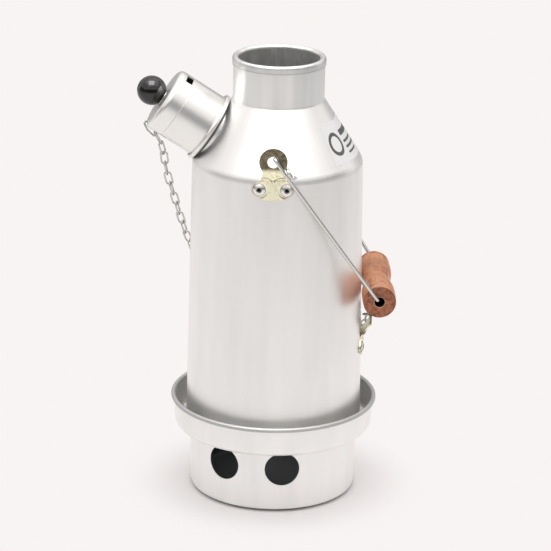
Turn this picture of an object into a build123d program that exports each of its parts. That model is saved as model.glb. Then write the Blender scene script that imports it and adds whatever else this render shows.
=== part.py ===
from build123d import *
import os
from math import acos, asin, asinh, atan, atan2, ceil, cos, cosh, degrees
from math import hypot, pi, radians, sin, sinh, sqrt, tan

# Storm kettle in millimetres, Z up, origin at the middle of the fire base's underside.
# The spout points to -X, the front bail bracket to -Y and the pour bracket to +X.
# An azimuth is counted from -Y towards +X.

# Sheet thicknesses
body_sheet = 0.8
flue_sheet = 0.65
cap_sheet = 0.7
bracket_sheet = 1.2
label_sheet = 0.15

# Fire base
base_draft = 0.8
waist_inset = 2.73
base_corner_r = 3.5
shelf_z = 41.0
shelf_slope = 10.0
shelf_inner_bend = 1.0
shelf_width = 9.9
flare_bend = 4.0
flare_draft = 1.19
base_rim_z = 61.12
base_roll_r = 1.47
vent_r = 11.15
vent_z = 29.8
vent_azimuths = (6.9, -35.6, 186.9, 144.4)

# Body shell
shoulder_r = 54.05
shoulder_z = 221.5
shoulder_bend = 9.0
wall_taper = 0.01486
cone_angle = 32.7
neck_room = 2.5
neck_bend = 2.0

# Flue and its rolled top
overall_height = 288.0
flue_top_r = 26.35
jacket_foot_width = 7.69
flue_foot_z = 44.0
flue_knee_drop = 5.75303
flue_knee_bend = 30.0
band_height = 5.0
jacket_floor_z = 50.0

# Spout and whistle cap, with distances along the spout's axis from the cone
spout_offset = 0.89
spout_r = 18.6
spout_length = 16.0
cup_length = 36.4
cup_corner_r = 3.5
cup_rim_lift = 0.3
cup_roll_r = 1.5
cup_roll_reach = 2.3
crimp_at = 25.3
crimp_depth = 0.25
window_low = 26.4
window_high = 31.0
window_from = 3.0
window_to = 24.5
seal_low = 7.0
seal_high = 15.0
seal_gap = 0.3
seal_wall = 1.3
disc_sheet = 0.6
disc_hole_r = 2.6
spacer_length = 3.2
spacer_wall = 1.5

# Knob and its screw
knob_r = 9.35
knob_middle = 44.5
washer_sheet = 0.3
washer_r = 5.0
screw_r = 2.0
screw_head_r = 4.0
screw_head_length = 2.4
screw_depth = 9.0
screw_gap = 0.15

# Cap link
link_wire_r = 0.6
cap_link_azimuth = 168.0
cap_link_low = 27.5
cap_link_inset = 6.2
cap_link_gap = 0.1
cap_link_stand = 2.1
cap_link_hole_r = 1.1
cap_link_bend = 0.8
cap_link_corner_back = 3.6
cap_link_corner_in = 3.4

# Brackets and rivets, with heights counted from the rivets' line
bracket_shift = -2.5
bail_rivet_drop = 5.0
pour_rivet_z = 97.7
eye_rise = 19.7
eye_r = 8.7
eye_hole_r = 3.65
eye_stand_off = 6.5
bracket_foot_top = 6.9
bracket_bend_top = 14.5
bracket_bend_r = 3.0
rivet_side = 8.6
rivet_r = 2.0
rivet_gap = 0.05
rivet_head_r = 4.0
rivet_head_rise = 1.4
rivet_bulb_r = 2.8
rivet_bulb_length = 5.0
mandrel_r = 1.0
mandrel_seat_r = 1.65
mandrel_sink = 0.4

# Bail wire and grip, placed from the pivot
bail_wire_r = 1.15
bail_hang_gap = 0.15
bail_side_gap = 0.45
bail_back_gap = 0.4
leg_lead = 12.0
hook_angle = -30.0
hook_tail = 6.6
spur_length = 2.6
spur_angle = 62.0
hook_bend = 1.6
leg_bend = 14.0
corner_bend = 2.5
grip_rest_gap = 1.26
grip_z = 137.7
grip_yaw = 1.7
grip_length = 71.2
grip_end_r = 10.35
grip_lobe_r = 10.6
grip_lobe_at = 23.0
grip_waist_r = 8.5
grip_bore_r = 3.15
grip_round = 0.7
grip_drop = 1.3
grip_set = 0.0
grip_end_room = 0.3

# Chain
chain_wire_r = 0.55
chain_link_length = 10.4
chain_link_width = 5.3
chain_slack = 0.12
chain_sag = 66.0
chain_twist = 62.0
chain_twist_links = 2
hook_gap = 0.2
route_spare = 1.0
chain_wall_gap = 0.4
chain_set = Vector(1.5, 2.0, -0.7)
chain_lean = Vector(2.5, 1.1, -3.7)
chain_touch_z = 155.0
chain_leave_z = 100.0
ring_r = 4.6
ring_tilt = 25.0

# Label
label_from = 46.0
label_to = 100.0
label_foot_rise = 5.2
label_top_drop = 10.85

# Derived lines of the body
wall_lean = atan(wall_taper)
cone_lean = radians(cone_angle)
neck_r = flue_top_r + neck_room
neck_z = shoulder_z + (shoulder_r - neck_r) / tan(cone_lean)
half_sheet = body_sheet / 2
shelf_run = tan(radians(shelf_slope))
flue_knee_z = neck_z - flue_knee_drop
band_foot_z = overall_height - band_height
bail_rivet_z = shoulder_z - bail_rivet_drop


def wall_r(z):
    return shoulder_r + (shoulder_z - z) * wall_taper


flue_foot_r = wall_r(flue_foot_z) - jacket_foot_width


def flue_r(z):
    return flue_top_r + (flue_knee_z - z) * (flue_foot_r - flue_top_r) / (flue_knee_z - flue_foot_z)


def cone_z(r):
    return shoulder_z + (shoulder_r - r) / tan(cone_lean)


def inset_corner(r, z, first_lean, second_lean, depth):
    spread = sin(second_lean - first_lean)
    inset_r = depth * (sin(second_lean) - sin(first_lean)) / spread
    inset_z = depth * (cos(first_lean) - cos(second_lean)) / spread
    return (r - inset_r, z - inset_z)


def upright_plane(azimuth):
    turn = radians(azimuth)
    return Plane(origin=(0, 0, 0), x_dir=(sin(turn), -cos(turn), 0), z_dir=(-cos(turn), -sin(turn), 0))


def wall_plane(azimuth, z):
    turn = radians(azimuth)
    r = wall_r(z)
    out = (cos(wall_lean) * sin(turn), -cos(wall_lean) * cos(turn), sin(wall_lean))
    return Plane(origin=(r * sin(turn), -r * cos(turn), z), x_dir=(cos(turn), sin(turn), 0), z_dir=out)


# Fire base
base_waist_r = wall_r(shelf_z) - waist_inset
base_foot_r = base_waist_r - base_draft
flare_foot_r = base_waist_r + shelf_width
base_rim_r = flare_foot_r + flare_draft
base_mid_r = base_waist_r - half_sheet
shelf_mid_z = shelf_z + half_sheet
base_top_r = base_rim_r - base_roll_r + half_sheet
flare_mid_r = flare_foot_r - half_sheet
with BuildPart() as fire_base:
    with BuildSketch(Plane.XZ):
        with BuildLine():
            FilletPolyline(
                (0, half_sheet),
                (base_foot_r - half_sheet, half_sheet),
                (base_mid_r, shelf_mid_z),
                (flare_mid_r, shelf_mid_z + (flare_mid_r - base_mid_r) * shelf_run),
                (base_top_r, base_rim_z),
                radius=(base_corner_r - half_sheet, shelf_inner_bend, flare_bend - half_sheet),
            )
            CenterArc((base_rim_r, base_rim_z), base_roll_r - half_sheet, 180, -260)
        trace(line_width=body_sheet)
    revolve(axis=Axis.Z)
    with Locations(*[wall_plane(azimuth, vent_z) for azimuth in vent_azimuths]):
        Cylinder(vent_r, 24, mode=Mode.SUBTRACT)

# The solid inside the shell's outer surface, used to cut what sits on the shell
shelf_top_z = shelf_mid_z + half_sheet / cos(radians(shelf_slope))
wall_zero_r = wall_r(0)
body_foot_z = (shelf_top_z + (wall_zero_r - base_mid_r) * shelf_run) / (1 + wall_taper * shelf_run)
roll_middle_r = (flue_top_r - flue_sheet + neck_r + flue_sheet) / 2
roll_bend = (neck_r - flue_top_r + flue_sheet) / 2
roll_z = overall_height - roll_bend - flue_sheet / 2
with BuildPart() as body_core:
    with BuildSketch(Plane.XZ):
        with BuildLine():
            skin = FilletPolyline(
                (wall_r(body_foot_z), body_foot_z),
                (shoulder_r, shoulder_z),
                (neck_r, neck_z),
                (neck_r, roll_z),
                radius=(shoulder_bend, neck_bend),
            )
            Polyline(skin @ 1, (0, roll_z), (0, body_foot_z), skin @ 0)
        make_face()
    revolve(axis=Axis.Z)

# Spout planes: one square to the axis, one that holds it
spout_cone_r = (shoulder_r + neck_r) / 2 + spout_offset
spout_z = cone_z(spout_cone_r)
spout_out = Vector(-cos(cone_lean), 0, sin(cone_lean))
spout_up = Vector(sin(cone_lean), 0, cos(cone_lean))
spout_foot = Vector(-spout_cone_r, 0, spout_z)
spout_plane = Plane(origin=spout_foot, x_dir=spout_up, z_dir=spout_out)
spout_side = Plane(origin=spout_foot, x_dir=spout_up, z_dir=(0, -1, 0))
spout_axis = Axis(spout_foot, spout_out)


def cap_plane(azimuth):
    turn = radians(azimuth)
    across = spout_up * cos(turn) + Vector(0, -sin(turn), 0)
    return Plane(origin=spout_foot, x_dir=across, z_dir=across.cross(spout_out))


# Rivet places
def rivet_azimuths(z, shift):
    head_r = wall_r(z) + bracket_sheet
    return [degrees(asin((shift + side) / head_r)) for side in (-rivet_side, rivet_side)]


front_azimuths = rivet_azimuths(bail_rivet_z, bracket_shift)
front_rivets = [wall_plane(azimuth, bail_rivet_z) for azimuth in front_azimuths]
rear_rivets = [wall_plane(180 - azimuth, bail_rivet_z) for azimuth in front_azimuths]
pour_rivets = [wall_plane(90 + azimuth, pour_rivet_z) for azimuth in rivet_azimuths(pour_rivet_z, 0)]
rivet_planes = front_rivets + rear_rivets + pour_rivets
rivet_hole_r = rivet_r + rivet_gap

# Outer shell
foot_inset_r = half_sheet * cos(wall_lean)
foot_inset_z = half_sheet * sin(wall_lean)
with BuildPart() as outer_shell:
    with BuildSketch(Plane.XZ):
        with BuildLine():
            FilletPolyline(
                (wall_r(body_foot_z) - foot_inset_r, body_foot_z - foot_inset_z),
                inset_corner(shoulder_r, shoulder_z, wall_lean, cone_lean, half_sheet),
                inset_corner(neck_r, neck_z, cone_lean, 0, half_sheet),
                (neck_r - half_sheet, roll_z),
                radius=(shoulder_bend - half_sheet, neck_bend + half_sheet),
            )
        trace(line_width=body_sheet)
    revolve(axis=Axis.Z)
    with BuildSketch(spout_plane.offset(-5)):
        Circle(spout_r - body_sheet)
    extrude(amount=12, mode=Mode.SUBTRACT)
    with Locations(*rivet_planes):
        Cylinder(rivet_hole_r, 12, mode=Mode.SUBTRACT)

# Flue with its top rolled over the neck
flue_inset = flue_sheet / 2
flue_lean = atan((flue_foot_r - flue_top_r) / (flue_knee_z - flue_foot_z))
flue_mid_r = flue_top_r - flue_inset
with BuildPart() as flue:
    with BuildSketch(Plane.XZ):
        with BuildLine():
            FilletPolyline(
                (flue_foot_r - flue_inset * cos(flue_lean), flue_foot_z - flue_inset * sin(flue_lean)),
                inset_corner(flue_top_r, flue_knee_z, flue_lean, 0, flue_inset),
                (flue_mid_r, roll_z),
                radius=flue_knee_bend,
            )
            roll = CenterArc((roll_middle_r, roll_z), roll_bend, 180, -180)
            Line(roll @ 1, (neck_r + flue_inset, band_foot_z))
        trace(line_width=flue_sheet)
    revolve(axis=Axis.Z)

# Bottom ring of the water jacket, a channel with its legs down
flue_side = half_sheet / cos(flue_lean)
shell_side = (body_sheet + half_sheet) / cos(wall_lean)
ring_foot_z = flue_foot_z + 0.5
with BuildPart() as bottom_ring:
    with BuildSketch(Plane.XZ):
        with BuildLine():
            FilletPolyline(
                (flue_r(ring_foot_z) + flue_side, ring_foot_z),
                (flue_r(jacket_floor_z) + flue_side, jacket_floor_z),
                (wall_r(jacket_floor_z) - shell_side, jacket_floor_z),
                (wall_r(ring_foot_z) - shell_side, ring_foot_z),
                radius=half_sheet + 0.6,
            )
        trace(line_width=body_sheet)
    revolve(axis=Axis.Z)

# Spout tube, its foot cut to the cone
with BuildPart() as spout_tube:
    with BuildSketch(spout_plane.offset(-5)):
        Circle(spout_r)
        Circle(spout_r - body_sheet, mode=Mode.SUBTRACT)
    extrude(amount=spout_length + 5)
    add(body_core.part, mode=Mode.SUBTRACT)


# Bracket facing -Y: a bent strip and a foot band, cut to one outline and to the shell
def shape_bracket(rivet_z, shift):
    foot_r = wall_r(rivet_z)
    eye_z = rivet_z + eye_rise
    strip_out = foot_r + eye_stand_off - bracket_sheet / 2
    strip_in = foot_r + bracket_sheet / 2
    run = (strip_out - strip_in) / (bracket_bend_top - bracket_foot_top)
    reach_in = 6.0
    band_low = rivet_z - 8
    band_high = rivet_z + 6
    band_rise = bracket_sheet / cos(wall_lean)
    with BuildPart() as bracket:
        with BuildSketch(Plane.YZ.offset(shift)):
            with BuildLine():
                FilletPolyline(
                    (-strip_out, eye_z + eye_r + 1),
                    (-strip_out, rivet_z + bracket_bend_top),
                    (-strip_in + reach_in * run, rivet_z + bracket_foot_top - reach_in),
                    radius=bracket_bend_r,
                )
            trace(line_width=bracket_sheet)
        extrude(amount=16, both=True)
        with BuildSketch(Plane.XZ):
            with BuildLine():
                Polyline(
                    (wall_r(band_low) - 1, band_low),
                    (wall_r(band_low) + band_rise, band_low),
                    (wall_r(band_high) + band_rise, band_high),
                    (wall_r(band_high) - 1, band_high),
                    close=True,
                )
            make_face()
        revolve(axis=Axis.Z)
        with BuildSketch(Plane.XZ.offset(40)):
            with BuildLine():
                top = ThreePointArc(
                    (shift - 7.6, eye_z - 4.23), (shift, eye_z + eye_r), (shift + 7.6, eye_z - 4.23)
                )
                right = Spline(
                    top @ 1,
                    (shift + 6.65, eye_z - 9.1),
                    (shift + 9.0, eye_z - 14.5),
                    (shift + 12.0, eye_z - 17.0),
                    (shift + 13.5, eye_z - 19.8),
                    (shift + 12.2, eye_z - 22.9),
                    (shift + 7.7, eye_z - 24.9),
                    (shift, eye_z - 26.2),
                    tangents=((-0.486, -0.874), (-1, 0)),
                )
                Spline(
                    top @ 0,
                    (shift - 6.65, eye_z - 9.1),
                    (shift - 9.0, eye_z - 14.5),
                    (shift - 12.0, eye_z - 17.0),
                    (shift - 13.5, eye_z - 19.8),
                    (shift - 12.2, eye_z - 22.9),
                    (shift - 7.7, eye_z - 24.9),
                    right @ 1,
                    tangents=((0.486, -0.874), (1, 0)),
                )
            make_face()
        extrude(amount=40, mode=Mode.INTERSECT)
        add(body_core.part, mode=Mode.SUBTRACT)
        with BuildSketch(Plane.XZ.offset(40)):
            with Locations((shift, eye_z)):
                Circle(eye_hole_r)
        extrude(amount=40, mode=Mode.SUBTRACT)
        with Locations(*[wall_plane(azimuth, rivet_z) for azimuth in rivet_azimuths(rivet_z, shift)]):
            Cylinder(rivet_hole_r, 12, mode=Mode.SUBTRACT)
    return bracket.part


front_shape = shape_bracket(bail_rivet_z, bracket_shift)
pour_shape = shape_bracket(pour_rivet_z, 0)

with BuildPart() as bail_bracket_front:
    add(front_shape)

with BuildPart() as bail_bracket_rear:
    mirror(front_shape, about=Plane.XZ)

with BuildPart() as pour_bracket:
    add(pour_shape, rotation=(0, 0, 90))

# Rivets, each turned about its own axis, which is local Z with zero on the shell's outer surface
head_seat = bracket_sheet
inner_wall_r = wall_r(bail_rivet_z) - body_sheet
bulb_sag = inner_wall_r - sqrt(inner_wall_r**2 - rivet_bulb_r**2) + 0.02
bulb_top = -body_sheet - bulb_sag
bulb_foot = bulb_top - rivet_bulb_length
head_dome_r = (rivet_head_r**2 + rivet_head_rise**2) / (2 * rivet_head_rise)
head_top = head_seat + rivet_head_rise
seat_top = head_seat + rivet_head_rise - head_dome_r + sqrt(head_dome_r**2 - mandrel_seat_r**2)
with BuildPart(Plane.XY) as rivet_form:
    with BuildSketch(Plane.XZ):
        with BuildLine():
            ThreePointArc(
                (rivet_head_r, head_seat),
                (rivet_head_r / 2, head_top - head_dome_r + sqrt(head_dome_r**2 - rivet_head_r**2 / 4)),
                (mandrel_seat_r, seat_top),
            )
            Polyline(
                (mandrel_seat_r, seat_top),
                (mandrel_r + 0.05, seat_top - mandrel_sink),
                (mandrel_r + 0.05, bulb_foot + 1),
                (0, bulb_foot + 1),
                (0, bulb_foot),
                (rivet_bulb_r - 0.6, bulb_foot),
                (rivet_bulb_r, bulb_foot + 1.5),
                (rivet_bulb_r, bulb_top),
                (rivet_r, bulb_top),
                (rivet_r, head_seat),
                (rivet_head_r, head_seat),
            )
        make_face()
    revolve(axis=Axis.Z)

with BuildPart() as bracket_rivets:
    with Locations(*rivet_planes):
        add(rivet_form.part)

mandrel_foot = bulb_foot + 1
mandrel_length = seat_top - 2 * mandrel_sink - mandrel_foot
with BuildPart() as rivet_mandrels:
    with Locations(*[plane.offset(mandrel_foot) for plane in rivet_planes]):
        Cylinder(mandrel_r, mandrel_length, align=(Align.CENTER, Align.CENTER, Align.MIN))

# Grip place, and the bail wire: one half as a row of points, then the same row mirrored
grip_x = wall_r(grip_z) + grip_waist_r + grip_rest_gap
pivot_x = bracket_shift
pivot_z = bail_rivet_z + eye_rise
eye_face_y = wall_r(bail_rivet_z) + eye_stand_off
bar_x = grip_x + grip_set
bar_z = grip_z + grip_drop
bail_hang = eye_hole_r - bail_wire_r - bail_hang_gap
bail_out = bail_wire_r + bail_side_gap
bail_in = bracket_sheet + bail_wire_r + bail_back_gap
hook_reach = eye_r + bail_wire_r + bail_side_gap
hang_lean = atan2(2.2, 1.0)
hang_x = pivot_x + bail_hang * cos(hang_lean)
hang_z = pivot_z + bail_hang * sin(hang_lean)
leg_lean = atan2(bar_z - hang_z, bar_x - hang_x)
wire_out_y = eye_face_y + bail_out
wire_in_y = eye_face_y - bail_in
hook_x = pivot_x + hook_reach * cos(radians(hook_angle))
hook_z = pivot_z + hook_reach * sin(radians(hook_angle))
tail_x = hook_x + hook_tail * cos(leg_lean)
tail_z = hook_z + hook_tail * sin(leg_lean)
bar_y = grip_length / 2 + corner_bend / 2 + grip_end_room
spur_x = tail_x + spur_length * cos(radians(spur_angle))
spur_z = tail_z + spur_length * sin(radians(spur_angle))
half_wire = [
    (spur_x, wire_out_y, spur_z),
    (tail_x, wire_out_y, tail_z),
    (hook_x, wire_out_y, hook_z),
    (hook_x, wire_in_y, hook_z),
    (hang_x, wire_in_y, hang_z),
    (hang_x, wire_out_y, hang_z),
    (hang_x + leg_lead * cos(leg_lean), wire_out_y, hang_z + leg_lead * sin(leg_lean)),
    (bar_x, bar_y, bar_z),
]
wire_points = [(x, -y, z) for x, y, z in half_wire] + list(reversed(half_wire))
half_bends = [1.3, hook_bend, hook_bend, hook_bend, hook_bend, leg_bend, corner_bend]
with BuildPart() as bail_wire:
    with BuildLine():
        route = FilletPolyline(*wire_points, radius=half_bends + list(reversed(half_bends)))
    with BuildSketch(Plane(origin=route @ 0, z_dir=route % 0)):
        Circle(bail_wire_r)
    sweep()

# Bail grip, a little askew on the wire as its loose bore lets it lie
grip_half = grip_length / 2
grip_turn = radians(grip_yaw)
grip_axis = Axis((grip_x, 0, grip_z), (-sin(grip_turn), cos(grip_turn), 0))
grip_side = grip_axis.direction.cross(Vector(0, 0, 1))
grip_plane = Plane(origin=grip_axis.position, x_dir=grip_axis.direction, z_dir=grip_side)
slope_at = grip_lobe_at * 0.3
slope_r = grip_waist_r + (grip_lobe_r - grip_waist_r) * 0.24
bulge_at = grip_lobe_at * 0.62
bulge_r = grip_waist_r + (grip_lobe_r - grip_waist_r) * 0.8
half_outline = [
    (grip_half, grip_end_r),
    (grip_lobe_at, grip_lobe_r),
    (bulge_at, bulge_r),
    (slope_at, slope_r),
]
other_outline = [(-y, r) for y, r in reversed(half_outline)]
with BuildPart() as bail_grip:
    with BuildSketch(grip_plane):
        with BuildLine():
            waist = Spline(*half_outline, (0, grip_waist_r), *other_outline)
            Polyline(waist @ 1, (-grip_half, grip_bore_r), (grip_half, grip_bore_r), waist @ 0)
        make_face()
    revolve(axis=grip_axis)
    fillet(bail_grip.edges().filter_by(GeomType.CIRCLE), grip_round)

# Whistle cup
cup_r = spout_r + seal_gap + seal_wall + cap_sheet
cup_mid_r = cup_r - cap_sheet / 2
cup_roll_middle = cup_r + cup_roll_reach - cup_roll_r
cup_roll_at = cup_rim_lift + cup_roll_r
cup_floor = cup_length - cap_sheet
cup_inner_r = cup_r - cap_sheet
link_out_r = cup_r + link_wire_r + cap_link_stand
link_in_r = link_out_r - cap_link_inset
link_top = cup_length + link_wire_r + cap_link_gap
with BuildPart() as whistle_cup:
    with BuildSketch(spout_side):
        with BuildLine():
            FilletPolyline(
                (0, cup_length - cap_sheet / 2),
                (cup_mid_r, cup_length - cap_sheet / 2),
                (cup_mid_r, cup_roll_at),
                radius=cup_corner_r - cap_sheet / 2,
            )
            CenterArc((cup_roll_middle, cup_roll_at), cup_roll_r - cap_sheet / 2, 180, 260)
        trace(line_width=cap_sheet)
    revolve(axis=spout_axis)
    with BuildSketch(spout_side):
        with BuildLine():
            Polyline(
                (cup_r - crimp_depth, crimp_at),
                (cup_r + 0.1, crimp_at - 0.4),
                (cup_r + 0.1, crimp_at + 0.4),
                close=True,
            )
        make_face()
    revolve(axis=spout_axis, mode=Mode.SUBTRACT)
    with BuildSketch(cap_plane(window_to)):
        with Locations((cup_r, (window_low + window_high) / 2)):
            Rectangle(4, window_high - window_low)
    revolve(axis=spout_axis, revolution_arc=window_to - window_from, mode=Mode.SUBTRACT)
    with BuildSketch(spout_plane.offset(cup_length - 3)):
        Circle(screw_r + screw_gap)
    extrude(amount=6, mode=Mode.SUBTRACT)
    link_plane = cap_plane(cap_link_azimuth)
    side_hole = link_plane.from_local_coords((cup_r, cap_link_low, 0))
    end_hole = link_plane.from_local_coords((link_in_r, cup_length, 0))
    with Locations(Plane(origin=side_hole, z_dir=link_plane.x_dir), Plane(origin=end_hole, z_dir=spout_out)):
        Cylinder(cap_link_hole_r, 4, mode=Mode.SUBTRACT)

# Seal sleeve
with BuildPart() as seal_sleeve:
    with BuildSketch(spout_plane.offset(seal_low)):
        Circle(cup_inner_r)
        Circle(spout_r + seal_gap, mode=Mode.SUBTRACT)
    extrude(amount=seal_high - seal_low)

# Whistle discs and the spacer between them, held below the crimp
disc_top = crimp_at
disc_low = disc_top - 2 * disc_sheet - spacer_length
with BuildPart() as whistle_discs:
    for level in (disc_low, disc_top - disc_sheet):
        with BuildSketch(spout_plane.offset(level)):
            Circle(cup_inner_r)
            Circle(disc_hole_r, mode=Mode.SUBTRACT)
        extrude(amount=disc_sheet)

with BuildPart() as disc_spacer:
    with BuildSketch(spout_plane.offset(disc_low + disc_sheet)):
        Circle(cup_inner_r)
        Circle(cup_inner_r - spacer_wall, mode=Mode.SUBTRACT)
    extrude(amount=spacer_length)

# Ball knob with a flat towards the cup
knob_flat = cup_length + washer_sheet
with BuildPart() as knob:
    with Locations(Plane(origin=spout_foot + spout_out * knob_middle, z_dir=spout_out)):
        Sphere(knob_r)
    with BuildSketch(spout_plane.offset(knob_flat)):
        Circle(knob_r * 2)
    extrude(amount=-knob_r * 2, mode=Mode.SUBTRACT)
    with BuildSketch(spout_plane.offset(knob_flat)):
        Circle(screw_r)
    extrude(amount=screw_depth + 1, mode=Mode.SUBTRACT)

with BuildPart() as knob_washer:
    with BuildSketch(spout_plane.offset(cup_length)):
        Circle(washer_r)
        Circle(screw_r + screw_gap, mode=Mode.SUBTRACT)
    extrude(amount=washer_sheet)

with BuildPart() as knob_screw:
    with BuildSketch(spout_plane.offset(cup_floor)):
        Circle(screw_head_r)
    extrude(amount=-screw_head_length)
    with BuildSketch(spout_plane.offset(cup_floor)):
        Circle(screw_r)
    extrude(amount=cap_sheet + washer_sheet + screw_depth)
    fillet(knob_screw.edges().filter_by(GeomType.CIRCLE).sort_by(spout_axis)[0], 1.0)
    with BuildSketch(spout_plane.offset(cup_floor - screw_head_length)):
        Rectangle(6, 1)
        Rectangle(1, 6)
    extrude(amount=1.2, mode=Mode.SUBTRACT)

# Cap link, a wire loop through the cup's two small holes
with BuildPart() as cap_link:
    with BuildLine(link_plane):
        loop = FilletPolyline(
            (link_out_r - 1.2, link_top - cap_link_corner_back),
            (link_out_r - cap_link_corner_in, link_top),
            (link_in_r, link_top),
            (link_in_r, cap_link_low),
            (link_out_r, cap_link_low),
            radius=cap_link_bend,
            close=True,
        )
    with BuildSketch(Plane(origin=loop @ 0, z_dir=loop % 0)):
        Circle(link_wire_r)
    sweep()

# Chain route: hangs from the cap, meets the body and goes round its back to the pour bracket
pour_face_x = wall_r(pour_rivet_z) + eye_stand_off - bracket_sheet / 2
pour_eye_z = pour_rivet_z + eye_rise
ring_middle_y = (eye_hole_r + eye_r) / 2
ring_turn = radians(ring_tilt)
chain_end = Vector(
    pour_face_x,
    (ring_middle_y + ring_r) * cos(ring_turn),
    pour_eye_z - (ring_middle_y + ring_r) * sin(ring_turn),
)
chain_head = link_plane.from_local_coords((cup_r + cap_link_stand / 2, cap_link_low, 0))
chain_start = chain_head + chain_set
chain_lean_point = chain_head + chain_lean
stand_off = chain_link_width / 2 + chain_wall_gap
touch_r = wall_r(chain_touch_z) + stand_off
leave_r = wall_r(chain_leave_z) + stand_off
start_r = hypot(chain_start.X, chain_start.Y)
end_r = hypot(chain_end.X, chain_end.Y)
start_run = sqrt(start_r**2 - touch_r**2)
end_run = sqrt(end_r**2 - leave_r**2)
touch_turn = acos(touch_r / start_r) + atan2(chain_start.Y, -chain_start.X)
leave_turn = pi - atan2(chain_end.Y, chain_end.X) - acos(leave_r / end_r)
wrap_run = (leave_turn - touch_turn) * (touch_r + leave_r) / 2
whole_run = start_run + wrap_run + end_run
chain_fall = chain_start.Z - chain_end.Z
low_run = whole_run / 2 + chain_sag * asinh(
    chain_fall / (2 * chain_sag * sinh(whole_run / (2 * chain_sag)))
)
low_z = chain_start.Z - chain_sag * cosh(low_run / chain_sag)


def chain_point(run):
    z = chain_sag * cosh((run - low_run) / chain_sag) + low_z
    if run < start_run:
        share = run / start_run
        x = chain_start.X + (-touch_r * cos(touch_turn) - chain_start.X) * share
        y = chain_start.Y + (touch_r * sin(touch_turn) - chain_start.Y) * share
    elif run < start_run + wrap_run:
        share = (run - start_run) / wrap_run
        turn = touch_turn + (leave_turn - touch_turn) * share
        r = wall_r(z) + stand_off
        x = -r * cos(turn)
        y = r * sin(turn)
    else:
        share = (run - start_run - wrap_run) / end_run
        x = -leave_r * cos(leave_turn) * (1 - share) + chain_end.X * share
        y = leave_r * sin(leave_turn) * (1 - share) + chain_end.Y * share
    return Vector(x, y, z)


step_count = 40
chain_steps = [chain_point(whole_run * step / step_count) for step in range(1, step_count + 1)]
head_way = (chain_lean_point - chain_head).normalized()
tail_way = (chain_steps[-1] - chain_steps[-2]).normalized()
route_head = chain_head - head_way * route_spare
route_tail = chain_steps[-1] + tail_way * route_spare
head_half = (chain_head + chain_lean_point) / 2
chain_route = Spline(route_head, head_half, chain_lean_point, *chain_steps, route_tail)
link_pitch = chain_link_length - 4 * chain_wire_r - chain_slack
end_room = chain_link_length / 2 - 2 * chain_wire_r - link_wire_r - hook_gap
linked_length = chain_route.length - 2 * route_spare - 2 * end_room
step_total = 2 * ceil((linked_length / link_pitch - 1) / 2) + 1
link_step = linked_length / step_total
link_count = step_total + 1

first_joint = route_spare + end_room - link_step / 2
joint_runs = [first_joint + index * link_step for index in range(link_count + 1)]
link_joints = [chain_route @ (run / chain_route.length) for run in joint_runs]
link_places = []
for index in range(link_count):
    spot = (link_joints[index] + link_joints[index + 1]) / 2
    along = (link_joints[index + 1] - link_joints[index]).normalized()
    outwards = Vector(spot.X, spot.Y, 0).normalized()
    across = along.cross(outwards).normalized()
    roll = radians(90 * index + chain_twist * max(0, 1 - index / chain_twist_links))
    facing = across * cos(roll) + along.cross(across) * sin(roll)
    link_places.append(Plane(origin=spot, x_dir=along, z_dir=facing))

link_half = (chain_link_length - chain_link_width) / 2
link_bend = chain_link_width / 2 - chain_wire_r
with BuildPart() as link_form:
    with BuildLine():
        lower = Line((-link_half, -link_bend), (link_half, -link_bend))
        CenterArc((link_half, 0), link_bend, -90, 180)
        Line((link_half, link_bend), (-link_half, link_bend))
        CenterArc((-link_half, 0), link_bend, 90, 180)
    with BuildSketch(Plane(origin=lower @ 0, z_dir=(1, 0, 0))):
        Circle(chain_wire_r)
    sweep()

with BuildPart() as chain_links:
    with Locations(*link_places):
        add(link_form.part)

ring_middle = Vector(
    pour_face_x, ring_middle_y * cos(ring_turn), pour_eye_z - ring_middle_y * sin(ring_turn)
)
ring_plane = Plane(
    origin=ring_middle, x_dir=(0, cos(ring_turn), -sin(ring_turn)), z_dir=(0, sin(ring_turn), cos(ring_turn))
)
with BuildPart() as bracket_ring:
    with Locations(ring_plane):
        Torus(ring_r, link_wire_r)

# Label, a thin patch on the cone
label_rise_r = label_sheet * cos(cone_lean)
label_rise_z = label_sheet * sin(cone_lean)
label_low_z = shoulder_z + label_foot_rise
label_high_z = neck_z - label_top_drop
label_low_r = shoulder_r - (label_low_z - shoulder_z) * tan(cone_lean)
label_high_r = shoulder_r - (label_high_z - shoulder_z) * tan(cone_lean)
with BuildPart() as label:
    with BuildSketch(upright_plane(label_from)):
        with BuildLine():
            Polyline(
                (label_low_r, label_low_z),
                (label_low_r + label_rise_r, label_low_z + label_rise_z),
                (label_high_r + label_rise_r, label_high_z + label_rise_z),
                (label_high_r, label_high_z),
                close=True,
            )
        make_face()
    revolve(axis=Axis.Z, revolution_arc=label_to - label_from)

fire_base.part.label = "fire_base"
outer_shell.part.label = "outer_shell"
flue.part.label = "flue"
bottom_ring.part.label = "bottom_ring"
spout_tube.part.label = "spout_tube"
bail_bracket_front.part.label = "bail_bracket_front"
bail_bracket_rear.part.label = "bail_bracket_rear"
pour_bracket.part.label = "pour_bracket"
bracket_rivets.part.label = "bracket_rivets"
rivet_mandrels.part.label = "rivet_mandrels"
bail_wire.part.label = "bail_wire"
bail_grip.part.label = "bail_grip"
whistle_cup.part.label = "whistle_cup"
seal_sleeve.part.label = "seal_sleeve"
whistle_discs.part.label = "whistle_discs"
disc_spacer.part.label = "disc_spacer"
knob.part.label = "knob"
knob_washer.part.label = "knob_washer"
knob_screw.part.label = "knob_screw"
cap_link.part.label = "cap_link"
chain_links.part.label = "chain_links"
bracket_ring.part.label = "bracket_ring"
label.part.label = "label"

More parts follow.
